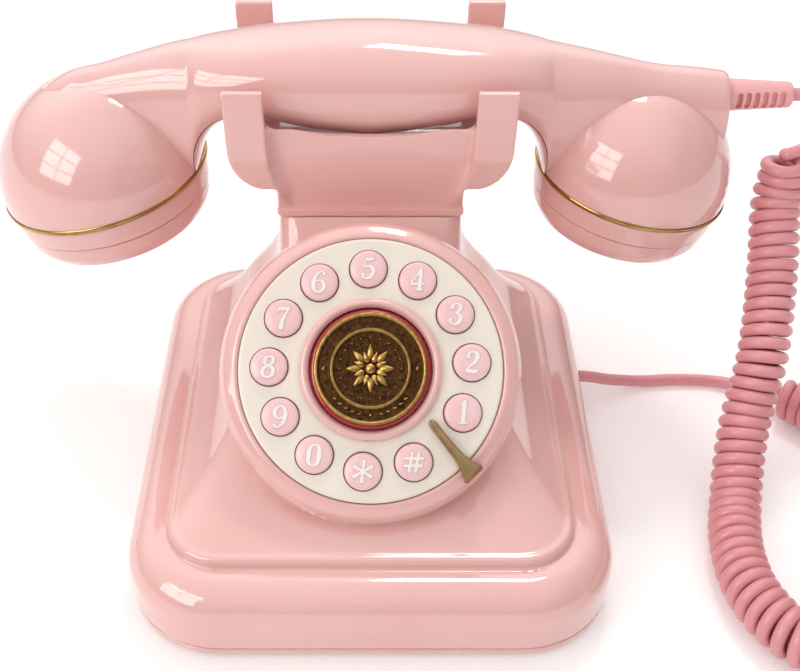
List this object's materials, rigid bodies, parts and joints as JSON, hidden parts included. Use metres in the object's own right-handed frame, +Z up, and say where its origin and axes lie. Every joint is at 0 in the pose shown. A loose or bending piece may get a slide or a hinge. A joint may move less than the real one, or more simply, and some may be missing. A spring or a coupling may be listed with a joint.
{
  "type": "retro desk telephone",
  "caption": "Cradle telephone with a lift-off domed handset, round push-button dial and coiled handset cord.",
  "frame": {"origin": "centre of the base plate's flat underside; the four feet stand 1.5 mm below it", "axes": "+Z up, -Y towards the dial and the user, +X to the user's right, the side the cord leaves on"},
  "size_m": [0.2914, 0.1719, 0.1343],
  "materials": {
    "pink_shell": "high gloss moulded plastic",
    "key_pink": "satin moulded plastic",
    "cord_pink": "soft satin vinyl",
    "ivory": "semi-gloss moulded plastic",
    "red_lens": "deep red translucent acrylic, polished",
    "brass": "polished brass plate",
    "antique_brass": "dark antiqued brass",
    "steel": "plain bright steel",
    "foot_rubber": "matt rubber",
    "black_plastic": "matt moulded plastic",
    "circuit_board": "solder-masked board",
    "silicone": "milky silicone sheet"
  },
  "bodies": {
    "base": {"housing": "pink_shell", "base_plate": "pink_shell", "foot_front_left": "foot_rubber", "foot_front_right": "foot_rubber", "foot_rear_left": "foot_rubber", "foot_rear_right": "foot_rubber", "base_screw_1": "steel", "base_screw_2": "steel", "base_screw_3": "steel", "base_screw_4": "steel", "ballast_plate": "steel", "ringer_speaker": "black_plastic", "main_board": "circuit_board", "handset_jack": "black_plastic", "line_jack": "black_plastic", "dial_plate": "ivory", "centre_ring": "pink_shell", "indicator_ring": "red_lens", "medallion": "antique_brass", "finger_stop": "brass", "keypad_membrane": "silicone", "keypad_board": "circuit_board", "cradle": "pink_shell", "hook_switch": "black_plastic", "hook_spring": "steel", "cord_lead_base": "cord_pink", "cord_plug": "black_plastic", "coiled_cord": "cord_pink"},
    "handset": {"handset_top_shell": "pink_shell", "handset_bottom_shell": "pink_shell", "receiver_trim_ring": "brass", "receiver_collar": "pink_shell", "receiver_cap": "pink_shell", "transmitter_trim_ring": "brass", "transmitter_collar": "pink_shell", "transmitter_cap": "pink_shell", "receiver_capsule": "black_plastic", "microphone_capsule": "black_plastic", "handset_weight": "steel", "cord_boot": "cord_pink", "cord_lead_handset": "cord_pink"},
    "key_1": {"key_1": "key_pink"},
    "key_2": {"key_2": "key_pink"},
    "key_3": {"key_3": "key_pink"},
    "key_4": {"key_4": "key_pink"},
    "key_5": {"key_5": "key_pink"},
    "key_6": {"key_6": "key_pink"},
    "key_7": {"key_7": "key_pink"},
    "key_8": {"key_8": "key_pink"},
    "key_9": {"key_9": "key_pink"},
    "key_0": {"key_0": "key_pink"},
    "key_star": {"key_star": "key_pink"},
    "key_hash": {"key_hash": "key_pink"},
    "hook_plunger": {"hook_plunger": "pink_shell"},
    "ringer_switch": {"ringer_switch": "black_plastic"}
  },
  "joints": [
    {"name": "handset_lift", "type": "slide", "parent": "base", "child": "handset", "axis": [0, 0, 1], "range_m": [0, 0.08]},
    {"name": "key_1_press", "type": "slide", "parent": "base", "child": "key_1", "axis": [0, 0.6947, -0.7193], "range_m": [0, 0.0015], "stiffness_N_per_m": 400},
    {"name": "key_2_press", "type": "slide", "parent": "base", "child": "key_2", "axis": [0, 0.6947, -0.7193], "range_m": [0, 0.0015], "stiffness_N_per_m": 400},
    {"name": "key_3_press", "type": "slide", "parent": "base", "child": "key_3", "axis": [0, 0.6947, -0.7193], "range_m": [0, 0.0015], "stiffness_N_per_m": 400},
    {"name": "key_4_press", "type": "slide", "parent": "base", "child": "key_4", "axis": [0, 0.6947, -0.7193], "range_m": [0, 0.0015], "stiffness_N_per_m": 400},
    {"name": "key_5_press", "type": "slide", "parent": "base", "child": "key_5", "axis": [0, 0.6947, -0.7193], "range_m": [0, 0.0015], "stiffness_N_per_m": 400},
    {"name": "key_6_press", "type": "slide", "parent": "base", "child": "key_6", "axis": [0, 0.6947, -0.7193], "range_m": [0, 0.0015], "stiffness_N_per_m": 400},
    {"name": "key_7_press", "type": "slide", "parent": "base", "child": "key_7", "axis": [0, 0.6947, -0.7193], "range_m": [0, 0.0015], "stiffness_N_per_m": 400},
    {"name": "key_8_press", "type": "slide", "parent": "base", "child": "key_8", "axis": [0, 0.6947, -0.7193], "range_m": [0, 0.0015], "stiffness_N_per_m": 400},
    {"name": "key_9_press", "type": "slide", "parent": "base", "child": "key_9", "axis": [0, 0.6947, -0.7193], "range_m": [0, 0.0015], "stiffness_N_per_m": 400},
    {"name": "key_0_press", "type": "slide", "parent": "base", "child": "key_0", "axis": [0, 0.6947, -0.7193], "range_m": [0, 0.0015], "stiffness_N_per_m": 400},
    {"name": "key_star_press", "type": "slide", "parent": "base", "child": "key_star", "axis": [0, 0.6947, -0.7193], "range_m": [0, 0.0015], "stiffness_N_per_m": 400},
    {"name": "key_hash_press", "type": "slide", "parent": "base", "child": "key_hash", "axis": [0, 0.6947, -0.7193], "range_m": [0, 0.0015], "stiffness_N_per_m": 400},
    {"name": "hook_plunger_rise", "type": "slide", "parent": "base", "child": "hook_plunger", "axis": [0, 0, 1], "range_m": [0, 0.004], "deforming": ["hook_spring"]},
    {"name": "ringer_switch_slide", "type": "slide", "parent": "base", "child": "ringer_switch", "axis": [1, 0, 0], "range_m": [-0.0025, 0.0025]}
  ],
  "couplings": [
    {"joint": "hook_plunger_rise", "follows": "handset_lift", "ratio": 0.05}
  ]
}
